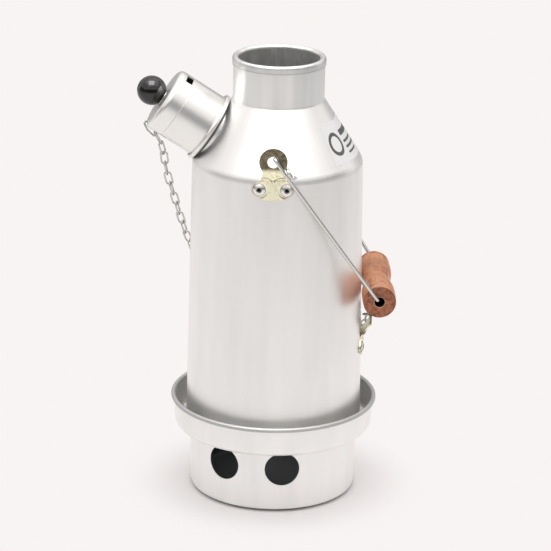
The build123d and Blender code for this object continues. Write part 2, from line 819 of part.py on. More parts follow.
os.makedirs("parts", exist_ok=True)
pieces = [
    fire_base,
    outer_shell,
    flue,
    bottom_ring,
    spout_tube,
    bail_bracket_front,
    bail_bracket_rear,
    pour_bracket,
    bracket_rivets,
    rivet_mandrels,
    bail_wire,
    bail_grip,
    whistle_cup,
    seal_sleeve,
    whistle_discs,
    disc_spacer,
    knob,
    knob_washer,
    knob_screw,
    cap_link,
    chain_links,
    bracket_ring,
    label,
]
for piece in pieces:
    export_step(piece.part, f"parts/{piece.part.label}.step")
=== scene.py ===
import bpy
from math import cos, sin, radians
from mathutils import Matrix, Vector


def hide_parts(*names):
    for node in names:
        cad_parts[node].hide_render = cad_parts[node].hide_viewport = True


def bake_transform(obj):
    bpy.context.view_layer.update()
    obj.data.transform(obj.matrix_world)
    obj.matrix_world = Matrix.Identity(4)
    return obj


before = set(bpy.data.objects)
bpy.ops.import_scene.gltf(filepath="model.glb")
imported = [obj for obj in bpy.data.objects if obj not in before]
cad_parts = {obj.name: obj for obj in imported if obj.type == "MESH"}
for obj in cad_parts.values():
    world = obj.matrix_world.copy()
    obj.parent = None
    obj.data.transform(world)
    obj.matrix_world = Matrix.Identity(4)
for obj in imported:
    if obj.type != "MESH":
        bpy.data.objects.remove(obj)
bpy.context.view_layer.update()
mm = 0.001
print("frame loaded", len(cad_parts), "nodes")


# Small helpers for node trees
def feed(tree, socket, value):
    if isinstance(value, bpy.types.NodeSocket):
        tree.links.new(value, socket)
    else:
        socket.default_value = value


def addNode(tree, kind, values=None, **settings):
    made = tree.nodes.new(kind)
    for name, value in settings.items():
        setattr(made, name, value)
    for name, value in (values or {}).items():
        feed(tree, made.inputs[name], value)
    return made


def doMath(tree, operation, *values, clamp=False):
    given = dict(enumerate(values))
    return addNode(tree, "ShaderNodeMath", given, operation=operation, use_clamp=clamp).outputs[0]


def times(tree, first, *others):
    for other in others:
        first = doMath(tree, "MULTIPLY", first, other)
    return first


def largest(tree, first, *others):
    for other in others:
        first = doMath(tree, "MAXIMUM", first, other)
    return first


def apart(tree, first, second):
    return doMath(tree, "ABSOLUTE", doMath(tree, "SUBTRACT", first, second))


def doVector(tree, operation, *values, output=0, scale=None):
    made = addNode(tree, "ShaderNodeVectorMath", dict(enumerate(values)), operation=operation)
    if scale is not None:
        feed(tree, made.inputs["Scale"], scale)
    return made.outputs[output]


def lengthOf(tree, vector):
    return doVector(tree, "LENGTH", vector, output=1)


def splitVector(tree, vector):
    return addNode(tree, "ShaderNodeSeparateXYZ", {0: vector}).outputs


def joinVector(tree, x=0.0, y=0.0, z=0.0):
    return addNode(tree, "ShaderNodeCombineXYZ", {0: x, 1: y, 2: z}).outputs[0]


def blendColour(tree, factor, first, second, mode="MIX"):
    made = addNode(tree, "ShaderNodeMix", data_type="RGBA", blend_type=mode)
    for name, value in ((0, factor), (6, first), (7, second)):
        if isinstance(value, tuple):
            value = (*value, 1)
        feed(tree, made.inputs[name], value)
    return made.outputs[2]


def softStep(tree, value, low, high):
    return addNode(tree, "ShaderNodeMapRange", {"Value": value, "From Min": low, "From Max": high},
                   interpolation_type="SMOOTHSTEP").outputs[0]


def noise(tree, vector, scale, detail=2.0, roughness=0.5, distortion=0.0):
    return addNode(tree, "ShaderNodeTexNoise", {
        "Vector": vector, "Scale": scale, "Detail": detail, "Roughness": roughness,
        "Distortion": distortion}).outputs[0]


def colourRamp(tree, value, stops):
    made = addNode(tree, "ShaderNodeValToRGB", {0: value})
    while len(made.color_ramp.elements) < len(stops):
        made.color_ramp.elements.new(0.5)
    for element, (place, colour) in zip(made.color_ramp.elements, stops):
        element.position = place
        element.color = (*colour, 1)
    return made.outputs[0]


def tone(red, green, blue):  # screen values from 0 to 255, as linear light
    out = []
    for value in (red, green, blue):
        share = value / 255
        out.append(share / 12.92 if share < 0.04045 else ((share + 0.055) / 1.055) ** 2.4)
    return tuple(out)


def startGroup(name, inputs, outputs):
    group = bpy.data.node_groups.new(name, "ShaderNodeTree")
    for label, kind, value in inputs:
        socket = group.interface.new_socket(label, in_out="INPUT", socket_type=kind)
        if value is not None:
            socket.default_value = value
    for label, kind in outputs:
        group.interface.new_socket(label, in_out="OUTPUT", socket_type=kind)
    return group, group.nodes.new("NodeGroupInput").outputs, group.nodes.new("NodeGroupOutput").inputs


# Spun metal: fine lines round the local Z axis, slow cloudy changes and soft bands round the axis
spunLook = {
    "lineStretch": 18.0,
    "bandDrift": 2.0,
    "bandScale": 3.2,
}


def makeSpunGroup():
    group, given, result = startGroup(
        "spun finish",
        [
            ("Vector", "NodeSocketVector", None),
            ("Line density", "NodeSocketFloat", 2200.0),
            ("Line contrast", "NodeSocketFloat", 0.05),
            ("Cloud size", "NodeSocketFloat", 30.0),
            ("Cloud contrast", "NodeSocketFloat", 0.04),
            ("Band contrast", "NodeSocketFloat", 0.10),
        ],
        [("Tone", "NodeSocketFloat"), ("Lines", "NodeSocketFloat")],
    )
    place = given["Vector"]
    stretch = joinVector(group, spunLook["lineStretch"], spunLook["lineStretch"], given["Line density"])
    lines = noise(group, doVector(group, "MULTIPLY", place, stretch), 1.0, 4.0, 0.65)
    clouds = noise(group, place, given["Cloud size"], 3.0)
    around = doVector(group, "NORMALIZE", doVector(group, "MULTIPLY", place, (1, 1, 0)))
    raised = doVector(group, "MULTIPLY", place, (0, 0, spunLook["bandDrift"]))
    bands = noise(group, doVector(group, "ADD", around, raised), spunLook["bandScale"], 3.0, 0.6)
    total = 1.0
    for field, contrast in ((lines, "Line contrast"), (clouds, "Cloud contrast"), (bands, "Band contrast")):
        total = doMath(group, "MULTIPLY_ADD", doMath(group, "SUBTRACT", field, 0.5), given[contrast], total)
    group.links.new(total, result["Tone"])
    group.links.new(lines, result["Lines"])
    return group


# Handling marks: faint smudges and a few short fine scratches
markLook = {
    "smudgeFrom": 0.48,
    "smudgeTo": 0.72,
    "scratchWidth": 0.012,
    "fewScale": 45.0,
    "fewFrom": 0.62,
    "fewTo": 0.7,
}


def makeHandlingGroup():
    look = markLook
    group, given, result = startGroup(
        "handling marks",
        [
            ("Vector", "NodeSocketVector", None),
            ("Smudge size", "NodeSocketFloat", 14.0),
            ("Scratch size", "NodeSocketFloat", 160.0),
        ],
        [("Smudges", "NodeSocketFloat"), ("Scratches", "NodeSocketFloat")],
    )
    smudge = noise(group, given["Vector"], given["Smudge size"], 5.0, 0.6, 0.6)
    bent = doVector(group, "MULTIPLY", given["Vector"], (1.0, 0.35, 0.6))
    cells = addNode(group, "ShaderNodeTexVoronoi", {"Vector": bent, "Scale": given["Scratch size"]},
                    feature="DISTANCE_TO_EDGE").outputs[0]
    thin = softStep(group, cells, look["scratchWidth"], 0.0)
    few = softStep(group, noise(group, given["Vector"], look["fewScale"]), look["fewFrom"], look["fewTo"])
    group.links.new(softStep(group, smudge, look["smudgeFrom"], look["smudgeTo"]), result["Smudges"])
    group.links.new(times(group, thin, few), result["Scratches"])
    return group


spunFinish = makeSpunGroup()
handlingMarks = makeHandlingGroup()


def placeGroup(tree, group, values):
    return addNode(tree, "ShaderNodeGroup", values, node_tree=group).outputs


def startMaterial(name, metallic=0.0, roughness=0.4, **plain):
    material = bpy.data.materials.new(name)
    material.use_nodes = True
    tree = material.node_tree
    shader = tree.nodes["Principled BSDF"].inputs
    shader["Metallic"].default_value = metallic
    shader["Roughness"].default_value = roughness
    for label, value in plain.items():
        shader[label.replace("_", " ")].default_value = value
    place = tree.nodes.new("ShaderNodeTexCoord").outputs["Object"]
    return material, tree, shader, place


def bumpFrom(tree, shader, height, strength, distance):
    bump = addNode(tree, "ShaderNodeBump", {"Height": height, "Strength": strength, "Distance": distance})
    tree.links.new(bump.outputs[0], shader["Normal"])


# Aluminium sheet, spun about its own axis
def makeSheetMetal(name, look, axisTurn=None, axisPoint=(0, 0, 0), darken=None):
    material, tree, shader, place = startMaterial(name, look["metallic"], look["roughness"])
    turned = place
    if axisTurn is not None:
        moved = doVector(tree, "SUBTRACT", place, axisPoint)
        turned = addNode(tree, "ShaderNodeMapping", {"Vector": moved, "Rotation": axisTurn}).outputs[0]
    spun = placeGroup(tree, spunFinish, {
        "Vector": turned, "Line density": look["lineDensity"], "Line contrast": look["lineContrast"],
        "Cloud size": look["cloudSize"], "Cloud contrast": look["cloudContrast"],
        "Band contrast": look["bandContrast"]})
    marks = placeGroup(tree, handlingMarks, {"Vector": turned})
    colour = blendColour(tree, 1.0, look["colour"], spun["Tone"], "MULTIPLY")
    lined = doMath(tree, "SUBTRACT", spun["Lines"], 0.5)
    rough = doMath(tree, "MULTIPLY_ADD", lined, look["roughSpread"], look["roughness"])
    rough = doMath(tree, "MULTIPLY_ADD", marks["Smudges"], look["smudge"], rough)
    if darken is not None:
        mask, dark = darken(tree, place, turned)
        colour = blendColour(tree, mask, colour, dark)
        rough = doMath(tree, "MULTIPLY_ADD", mask, look["darkRough"], rough, clamp=True)
    tree.links.new(colour, shader["Base Color"])
    tree.links.new(rough, shader["Roughness"])
    height = doMath(tree, "MULTIPLY_ADD", marks["Scratches"], -look["scratch"], spun["Lines"])
    bumpFrom(tree, shader, height, look["bump"], look["bumpDepth"])
    return material


def radiusOf(tree, place):
    return lengthOf(tree, doVector(tree, "MULTIPLY", place, (1, 1, 0)))


def heightOf(tree, place):
    return splitVector(tree, place)[2]


sheetLook = {
    "colour": tone(245, 244, 242),
    "metallic": 0.85,
    "roughness": 0.40,
    "lineDensity": 2600.0,
    "lineContrast": 0.045,
    "cloudSize": 26.0,
    "cloudContrast": 0.05,
    "bandContrast": 0.22,
    "roughSpread": 0.10,
    "smudge": 0.04,
    "scratch": 0.6,
    "bump": 0.05,
    "bumpDepth": 0.0002,
    "darkRough": 0.2,
}

# Darker streaks that run up the neck: painted reflection streaks, standing in for the neck's uneven
# reflections
neckReflectionStreakLook = {
    "streaks": 3.0,
    "streakFrom": 0.38,
    "streakTo": 0.64,
    "share": 0.20,
    "foot": 259.0 * mm,
    "full": 262.0 * mm,
    "dark": tone(196, 195, 193),
}


# painted reflection: darker streaks round the neck, above its foot
def neckPaintedReflectionStreaks(tree, place, turned):
    look = neckReflectionStreakLook
    around = doVector(tree, "NORMALIZE", doVector(tree, "MULTIPLY", place, (1, 1, 0)))
    streaks = softStep(tree, noise(tree, around, look["streaks"]), look["streakFrom"], look["streakTo"])
    onNeck = softStep(tree, heightOf(tree, place), look["foot"], look["full"])
    return times(tree, streaks, look["share"], onNeck), look["dark"]


bodyMetal = makeSheetMetal("satin aluminium body", sheetLook, darken=neckPaintedReflectionStreaks)

# The pan has seen fire below the shelf and has soot there, with painted shade on its roll and on the flare's
# inside at both sides
panLook = dict(sheetLook, roughness=0.38, cloudContrast=0.06, darkRough=0.3)
panSootAndShadeLook = {
    "wallFoot": 52.8 * mm,
    "wallSlope": 0.0195,
    "floor": 0.4 * mm,
    "sootFull": 39.2 * mm,
    "sootEnd": 40.4 * mm,
    "rollHeight": (59.3 * mm, 60.3 * mm),
    "rollRadius": (62.2 * mm, 63.0 * mm),
    "rollShadeShare": 0.55,
    "flareFoot": 62.15 * mm,
    "flareSlope": 0.03,
    "flareHeight": (43.5 * mm, 47.5 * mm),
    "flareSides": (0.72, 0.92),
    "flareShadeShare": 0.45,
    "dark": tone(128, 130, 133),
}


def panSootAndPaintedShade(tree, place, turned):
    look = panSootAndShadeLook
    radius = radiusOf(tree, place)
    height = heightOf(tree, place)
    wall = doMath(tree, "MULTIPLY_ADD", height, look["wallSlope"], look["wallFoot"])
    inside = doMath(tree, "LESS_THAN", radius, wall)
    low = softStep(tree, height, look["sootEnd"], look["sootFull"])
    soot = times(tree, inside, low, doMath(tree, "GREATER_THAN", height, look["floor"]))
    # painted shade: the rolled rim is toned darker all round
    raised = softStep(tree, height, *look["rollHeight"])
    roll = times(tree, raised, softStep(tree, radius, *look["rollRadius"]), look["rollShadeShare"])
    # painted shade on the inside of the flare, at its left and right sides
    flareWall = doMath(tree, "MULTIPLY_ADD", height, look["flareSlope"], look["flareFoot"])
    flare = doMath(tree, "LESS_THAN", radius, flareWall)
    across = doMath(tree, "ABSOLUTE", splitVector(tree, place)[0])
    sideways = softStep(tree, doMath(tree, "DIVIDE", across, radius), *look["flareSides"])
    flarePaintedShade = times(tree, flare, softStep(tree, height, *look["flareHeight"]), sideways, look["flareShadeShare"])
    return largest(tree, soot, roll, flarePaintedShade), look["dark"]


panMetal = makeSheetMetal("satin aluminium pan", panLook, darken=panSootAndPaintedShade)

# The flue is stained inside and below the neck, with a painted shadow line and a band of painted shade on its
# rolled top
flueLook = dict(sheetLook, metallic=1.0, roughness=0.34, darkRough=0.1, bandContrast=0.6)
flueStainsAndShadeLook = {
    "insideRadius": (26.2 * mm, 25.6 * mm),
    "insideTop": (286.8 * mm, 284.5 * mm),
    "stainScale": 110.0,
    "stainRange": (0.62, 0.40),
    "stainSpread": 0.75,
    "stainLeast": 0.25,
    "lowerTop": (256.0 * mm, 254.0 * mm),
    "bandRadius": 27.0 * mm,
    "lipShadowHeight": 283.2 * mm,
    "lipShadowWidth": (0.9 * mm, 0.2 * mm),
    "lipShadowShare": 0.9,
    "bandHeight": 283.4 * mm,
    "lipShadeShare": 0.38,
    "dark": tone(200, 201, 200),
}


def flueStainsAndPaintedShade(tree, place, turned):
    look = flueStainsAndShadeLook
    radius = radiusOf(tree, place)
    height = heightOf(tree, place)
    inside = softStep(tree, radius, *look["insideRadius"])
    under = softStep(tree, height, *look["insideTop"])
    stained = noise(tree, doVector(tree, "MULTIPLY", place, (1, 1, 0.25)), look["stainScale"], 6.0, 0.7)
    stains = softStep(tree, stained, *look["stainRange"])
    share = doMath(tree, "MULTIPLY_ADD", stains, look["stainSpread"], look["stainLeast"])
    upper = times(tree, inside, under, share)
    lower = softStep(tree, height, *look["lowerTop"])
    outer = doMath(tree, "GREATER_THAN", radius, look["bandRadius"])
    # painted shadow line under the rolled top, and painted shade on the rolled top above it
    lipShadowLine = softStep(tree, apart(tree, height, look["lipShadowHeight"]), *look["lipShadowWidth"])
    lipShade = doMath(tree, "GREATER_THAN", height, look["bandHeight"])
    return largest(tree, upper, lower, times(tree, outer, lipShadowLine, look["lipShadowShare"]),
                   times(tree, outer, lipShade, look["lipShadeShare"])), look["dark"]


flueMetal = makeSheetMetal("satin aluminium flue", flueLook, darken=flueStainsAndPaintedShade)

# Cup and tube share the spout's axis; painted shade under the cup's rim, and a dark ring round the tube's
# seat that is painted shade where it shows below the rim and grime where the cup covers it
capLook = dict(sheetLook, colour=tone(243, 242, 239), roughness=0.30, lineContrast=0.06, bandContrast=0.06,
               bump=0.02, scratch=0.2, metallic=0.8)
spoutPlace = {
    "lean": radians(57.3),
    "foot": (-42.34 * mm, 0, 239.74 * mm),
}
spoutShadeLook = {
    "rimHeight": (1.0 * mm, 0.4 * mm),
    "rimShadeTone": tone(158, 157, 155),
    "seatFoot": (-1.8 * mm, -1.1 * mm),
    "seatTop": (3.5 * mm, 2.2 * mm),
    "seatShadeTone": tone(120, 119, 117),
}


# painted shade on the underside of the cup's rolled rim
def rimShade(tree, place, turned):
    return softStep(tree, heightOf(tree, turned), *spoutShadeLook["rimHeight"]), spoutShadeLook["rimShadeTone"]


# dark ring round the tube's seat: painted shade below the cup's rim, grime under the cup
def tubeSeatGrimeAndShade(tree, place, turned):
    height = heightOf(tree, turned)
    foot = softStep(tree, height, *spoutShadeLook["seatFoot"])
    return times(tree, foot, softStep(tree, height, *spoutShadeLook["seatTop"])), spoutShadeLook["seatShadeTone"]


spoutTurn = {"axisTurn": (0, spoutPlace["lean"], 0), "axisPoint": spoutPlace["foot"]}
capMetal = makeSheetMetal("satin aluminium cap", capLook, darken=rimShade, **spoutTurn)
spoutMetal = makeSheetMetal("satin aluminium spout", sheetLook, darken=tubeSeatGrimeAndShade, **spoutTurn)
print("sheet metals made")

# Where the brackets sit: the axis they run along, its middle, and the heights of rivets and eye
bracketPlaces = {
    "bail": {"across": 0, "middle": -2.5 * mm, "rivetZ": 216.5 * mm, "eyeZ": 236.2 * mm},
    "pour": {"across": 1, "middle": 0.0, "rivetZ": 97.7 * mm, "eyeZ": 117.4 * mm},
}
rivetSide = 8.6 * mm


# Offsets of a point from the nearer rivet of a bracket, sideways and upwards
def fromRivet(tree, parts, spot):
    side = apart(tree, parts[spot["across"]], spot["middle"])
    return side, doMath(tree, "SUBTRACT", side, rivetSide), doMath(tree, "SUBTRACT", parts[2], spot["rivetZ"])


# Yellow passivated zinc on the brackets, with pressed pads round the rivets; painted shade on the bent-out
# eye, in dark arcs over the creases and in a ring round each rivet head
bracketLook = {
    "foot": tone(255, 250, 220),
    "pink": tone(224, 202, 192),
    "green": tone(222, 228, 180),
    "shade": tone(96, 88, 72),
    "eyeShade": tone(124, 116, 96),
    "eyeShadeDark": tone(92, 84, 66),
    "eyeShadeLight": tone(150, 141, 118),
    "eyeFrom": 7.0 * mm,
    "eyeTo": 3.6 * mm,
    "filmScale": 150.0,
    "edgeAway": (7.5 * mm, 13.0 * mm),
    "edgeShare": 0.75,
    "arcInward": 3.0 * mm,
    "arcUp": 3.4 * mm,
    "arcRadius": 5.2 * mm,
    "arcWidth": (0.45 * mm, 0.05 * mm),
    "arcAbove": (4.2 * mm, 6.0 * mm),
    "arcShadeShare": 0.8,
    "headShadowEdge": (4.25 * mm, 3.95 * mm),
    "headShadowShare": 0.85,
    "padEdge": (4.85 * mm, 5.75 * mm),
    "padDepth": 0.15 * mm,
    "grainScale": 1400.0,
    "grainBump": 0.012,
    "grainRough": 0.10,
    "roughness": 0.28,
    "smoothest": 0.23,
}


def makePlating(name, spot, edgeShade="pink"):
    look = bracketLook
    material, tree, shader, place = startMaterial(name, metallic=1.0, roughness=look["roughness"])
    parts = splitVector(tree, place)
    # painted shade: the bent-out eye above the foot takes darker tones than the foot
    upper = softStep(tree, parts[2], spot["eyeZ"] - look["eyeFrom"], spot["eyeZ"] - look["eyeTo"])
    film = noise(tree, place, look["filmScale"], distortion=1.2)
    shades = colourRamp(tree, film, (
        (0.25, look["pink"]), (0.42, look["foot"]), (0.62, look["foot"]), (0.75, look["green"])))
    eyeShadeTones = colourRamp(tree, film, ((0.35, look["eyeShadeDark"]), (0.5, look["eyeShade"]), (0.7, look["eyeShadeLight"])))
    side, sideAway, rise = fromRivet(tree, parts, spot)
    edge = times(tree, softStep(tree, side, *look["edgeAway"]), look["edgeShare"])
    footShade = blendColour(tree, edge, shades, look[edgeShade])
    distance = lengthOf(tree, joinVector(tree, sideAway, rise))
    # painted shade in dark arcs over the pressed creases above each rivet
    arcSpot = joinVector(tree, doMath(tree, "ADD", sideAway, look["arcInward"]),
                         doMath(tree, "SUBTRACT", rise, look["arcUp"]))
    pressed = softStep(tree, apart(tree, lengthOf(tree, arcSpot), look["arcRadius"]), *look["arcWidth"])
    creaseShade = times(tree, pressed, softStep(tree, rise, *look["arcAbove"]), look["arcShadeShare"])
    # painted shadow in a thin ring round the foot of each rivet head
    around = times(tree, softStep(tree, distance, *look["headShadowEdge"]), look["headShadowShare"])
    shaded = blendColour(tree, largest(tree, creaseShade, around), footShade, look["shade"])
    tree.links.new(blendColour(tree, upper, shaded, eyeShadeTones), shader["Base Color"])
    raised = softStep(tree, distance, *look["padEdge"])
    grain = noise(tree, place, look["grainScale"])
    height = doMath(tree, "MULTIPLY_ADD", grain, look["grainBump"], raised)
    bumpFrom(tree, shader, height, 1.0, look["padDepth"])
    rough = doMath(tree, "MULTIPLY_ADD", grain, look["grainRough"], look["smoothest"])
    tree.links.new(rough, shader["Roughness"])
    return material


bailPlating = makePlating("yellow zinc bail brackets", bracketPlaces["bail"])
pourPlating = makePlating("yellow zinc pour bracket", bracketPlaces["pour"], edgeShade="green")

# Bright wires, rivets, chain and screws share one recipe
brightLook = {
    "smudgeSize": 60.0,
    "scratchSize": 500.0,
    "facing": (0.25, 0.85),
    "smudgeRough": 0.12,
    "bump": 0.25,
}


def makeBrightMetal(name, colour, roughness, grainScale, grainDepth, spread, edge=0.45, darken=None):
    look = brightLook
    material, tree, shader, place = startMaterial(name, metallic=1.0, roughness=roughness)
    grain = noise(tree, place, grainScale, 3.0, 0.6)
    marks = placeGroup(tree, handlingMarks, {
        "Vector": place, "Smudge size": look["smudgeSize"], "Scratch size": look["scratchSize"]})
    shift = doMath(tree, "MULTIPLY_ADD", doMath(tree, "SUBTRACT", grain, 0.5), spread, 1.0)
    # painted shade: the colour darkens towards grazing edges
    facing = tree.nodes.new("ShaderNodeLayerWeight").outputs["Facing"]
    grazingShade = times(tree, softStep(tree, facing, *look["facing"]), edge)
    shift = times(tree, shift, doMath(tree, "SUBTRACT", 1.0, grazingShade))
    if darken is not None:
        shift = times(tree, shift, doMath(tree, "SUBTRACT", 1.0, darken(tree, place)))
    tree.links.new(blendColour(tree, 1.0, colour, shift, "MULTIPLY"), shader["Base Color"])
    rough = doMath(tree, "MULTIPLY_ADD", marks["Smudges"], look["smudgeRough"], roughness)
    tree.links.new(rough, shader["Roughness"])
    bumpFrom(tree, shader, grain, look["bump"], grainDepth)
    return material


# Shade in the dish of each rivet head and round its foot
dishLook = {
    "inner": (2.0 * mm, 1.4 * mm),
    "innerShare": 0.8,
    "outer": (3.5 * mm, 3.95 * mm),
    "outerShare": 0.6,
}


def rivetDish(tree, place):
    parts = splitVector(tree, place)
    ways = []
    for spot in bracketPlaces.values():
        side, sideAway, rise = fromRivet(tree, parts, spot)
        ways.append(lengthOf(tree, joinVector(tree, sideAway, rise)))
    near = doMath(tree, "MINIMUM", *ways)
    inner = times(tree, softStep(tree, near, *dishLook["inner"]), dishLook["innerShare"])
    outer = times(tree, softStep(tree, near, *dishLook["outer"]), dishLook["outerShare"])
    return largest(tree, inner, outer)


# Name, colour, roughness, grain scale and depth, spread of tone, painted shade at grazing edges and extra
# shade
brightMetals = {
    "wire": ("drawn zinc wire", tone(226, 224, 220), 0.26, 900.0, 0.08 * mm, 0.16, 0.75),
    "chain": ("bright chain wire", tone(214, 212, 208), 0.18, 1500.0, 0.05 * mm, 0.22, 0.9),
    "rivet": ("aluminium rivets", tone(240, 238, 235), 0.30, 1100.0, 0.04 * mm, 0.10, 0.5, rivetDish),
    "mandrel": ("dark rivet stems", tone(34, 33, 32), 0.42, 1600.0, 0.06 * mm, 0.3),
    "screw": ("zinc screw", tone(206, 204, 200), 0.30, 1200.0, 0.06 * mm, 0.12),
    "disc": ("whistle disc metal", tone(205, 203, 200), 0.35, 700.0, 0.06 * mm, 0.12),
}
bright = {label: makeBrightMetal(*values) for label, values in brightMetals.items()}
print("bright metals made")

# Turned hardwood grip: long grain on the side, soft turned bands, mottled ends, painted shade inside the bore
gripLook = {
    "light": tone(220, 154, 112),
    "middle": tone(188, 118, 80),
    "dark": tone(122, 66, 42),
    "boreInsideShade": tone(26, 18, 14),
    "endLight": tone(176, 106, 70),
    "endDark": tone(104, 54, 34),
    "bore": tone(216, 168, 134),
    "middlePoint": (65.055 * mm, 0.0, 137.7 * mm),
    "way": (-0.029666, 0.99956, 0.0),
    "figureScale": 210.0,
    "figureShare": 0.34,
    "bandScale": 130.0,
    "lipShadeShare": 0.36,
    "patchScale": 70.0,
    "patchShare": 0.30,
    "darkBandAlong": 14.0 * mm,
    "darkBandWidth": (11.0 * mm, 4.0 * mm),
    "darkBandShare": 0.30,
    "poreScale": 1600.0,
    "poreRange": (0.58, 0.72),
    "poreShare": 0.35,
    "poreRough": 0.2,
    "endAlong": (34.7 * mm, 35.45 * mm),
    "mottleScale": 520.0,
    "outline": (9.25 * mm, 10.15 * mm),
    "outlineShare": 0.6,
    "boreRing": (3.85 * mm, 3.45 * mm),
    "boreRingShare": 0.7,
    "boreRadius": 3.25 * mm,
    "roughness": 0.46,
    "coat": 0.10,
    "coatRoughness": 0.4,
    "bump": 0.3,
    "bumpDepth": 0.0003,
}


def makeWood():
    look = gripLook
    material, tree, shader, place = startMaterial(
        "turned hardwood", roughness=look["roughness"], Coat_Weight=look["coat"],
        Coat_Roughness=look["coatRoughness"])
    local = doVector(tree, "SUBTRACT", place, look["middlePoint"])
    along = doVector(tree, "DOT_PRODUCT", local, look["way"], output=1)
    onAxis = joinVector(tree, y=along)
    flat = doVector(tree, "SUBTRACT", local, doVector(tree, "SCALE", look["way"], scale=along))
    drawn = doVector(tree, "ADD", flat, doVector(tree, "MULTIPLY", onAxis, (0, 0.06, 0)))
    figure = noise(tree, drawn, look["figureScale"], 4.0, 0.5, 0.4)
    bands = noise(tree, onAxis, look["bandScale"], 4.0, 0.6)
    patches = noise(tree, local, look["patchScale"], 3.0, 0.5, 0.8)
    mix = times(tree, figure, look["figureShare"])
    mix = doMath(tree, "MULTIPLY_ADD", bands, look["lipShadeShare"], mix)
    mix = doMath(tree, "MULTIPLY_ADD", patches, look["patchShare"], mix)
    shades = colourRamp(tree, mix, (
        (0.39, look["dark"]), (0.46, look["middle"]), (0.52, look["light"]), (0.62, look["middle"])))
    # a darker band across the grip, to one side of its middle
    darkBand = times(tree, softStep(tree, apart(tree, along, look["darkBandAlong"]), *look["darkBandWidth"]),
                  look["darkBandShare"])
    shades = blendColour(tree, darkBand, shades, look["dark"])
    poreField = doVector(tree, "ADD", flat, doVector(tree, "MULTIPLY", onAxis, (0, 0.09, 0)))
    poreMask = softStep(tree, noise(tree, poreField, look["poreScale"]), *look["poreRange"])
    shades = blendColour(tree, times(tree, poreMask, look["poreShare"]), shades, look["dark"])
    ends = softStep(tree, doMath(tree, "ABSOLUTE", along), *look["endAlong"])
    away = lengthOf(tree, flat)
    mottle = noise(tree, place, look["mottleScale"], 5.0, 0.65)
    endShade = colourRamp(tree, mottle, ((0.36, look["endDark"]), (0.62, look["endLight"])))
    outline = times(tree, softStep(tree, away, *look["outline"]), look["outlineShare"])
    endShade = blendColour(tree, outline, endShade, look["dark"])
    boreRing = times(tree, softStep(tree, away, *look["boreRing"]), look["boreRingShare"])
    endShade = blendColour(tree, boreRing, endShade, look["bore"])
    # painted shade: the inside of the bore is near black
    boreInsideShade = doMath(tree, "LESS_THAN", away, look["boreRadius"])
    outside = blendColour(tree, ends, shades, endShade)
    tree.links.new(blendColour(tree, boreInsideShade, outside, look["boreInsideShade"]), shader["Base Color"])
    rough = doMath(tree, "MULTIPLY_ADD", poreMask, look["poreRough"], look["roughness"])
    tree.links.new(rough, shader["Roughness"])
    height = doMath(tree, "MULTIPLY_ADD", poreMask, -1.0, mix)
    bumpFrom(tree, shader, height, look["bump"], look["bumpDepth"])
    return material


gripWood = makeWood()

# Glossy black ball of the cap
knobLook = {
    "black": tone(15, 14, 14),
    "smudged": tone(27, 25, 25),
    "smudgeSize": 70.0,
    "scratchSize": 300.0,
    "roughness": 0.07,
    "smudgeRough": 0.10,
    "specular": 0.70,
    "grainScale": 700.0,
    "bump": 0.02,
    "bumpDepth": 0.0001,
}


def makeKnobPlastic():
    look = knobLook
    material, tree, shader, place = startMaterial(
        "black moulded ball", roughness=look["roughness"], Specular_IOR_Level=look["specular"])
    marks = placeGroup(tree, handlingMarks, {
        "Vector": place, "Smudge size": look["smudgeSize"], "Scratch size": look["scratchSize"]})
    tree.links.new(blendColour(tree, marks["Smudges"], look["black"], look["smudged"]), shader["Base Color"])
    rough = doMath(tree, "MULTIPLY_ADD", marks["Smudges"], look["smudgeRough"], look["roughness"])
    tree.links.new(rough, shader["Roughness"])
    bumpFrom(tree, shader, noise(tree, place, look["grainScale"]), look["bump"], look["bumpDepth"])
    return material


sealLook = {
    "dark": tone(40, 39, 38),
    "light": tone(60, 58, 57),
    "roughness": 0.62,
    "grainScale": 900.0,
    "bump": 0.4,
    "bumpDepth": 0.0002,
}


def makeRubber():
    look = sealLook
    material, tree, shader, place = startMaterial("soft black seal", roughness=look["roughness"])
    grain = noise(tree, place, look["grainScale"], 4.0)
    shades = colourRamp(tree, grain, ((0.3, look["dark"]), (0.7, look["light"])))
    tree.links.new(shades, shader["Base Color"])
    bumpFrom(tree, shader, grain, look["bump"], look["bumpDepth"])
    return material


knobPlastic = makeKnobPlastic()
sealRubber = makeRubber()

# Label: a white film with a plain ring and plain bars, and no lettering
labelLook = {
    "from": 46.0,
    "to": 100.0,
    "low": 226.7 * mm,
    "high": 249.9 * mm,
    "film": tone(238, 237, 236),
    "ink": tone(44, 44, 46),
    "inkShare": 0.92,
    "bars": [  # left, right, low and high as shares of the film
        (0.42, 0.92, 0.60, 0.76),
        (0.42, 0.86, 0.42, 0.50),
        (0.42, 0.90, 0.28, 0.36),
        (0.42, 0.78, 0.15, 0.22),
    ],
    "barEdge": (0.01, 0.02),
    "ringMiddle": (0.2, 0.48),
    "ringStretch": 1.75,
    "ringRadius": 0.24,
    "ringWidth": (0.055, 0.035),
    "roughness": 0.38,
    "smoothest": 0.33,
    "grainScale": 320.0,
    "grainRough": 0.1,
    "bump": 0.12,
    "bumpDepth": 0.0002,
}


def inkBar(tree, along, up, left, right, low, high):
    sideEdge, topEdge = labelLook["barEdge"]
    wide = times(tree, softStep(tree, along, left, left + sideEdge),
                 softStep(tree, along, right, right - sideEdge))
    return times(tree, wide, softStep(tree, up, low, low + topEdge), softStep(tree, up, high, high - topEdge))


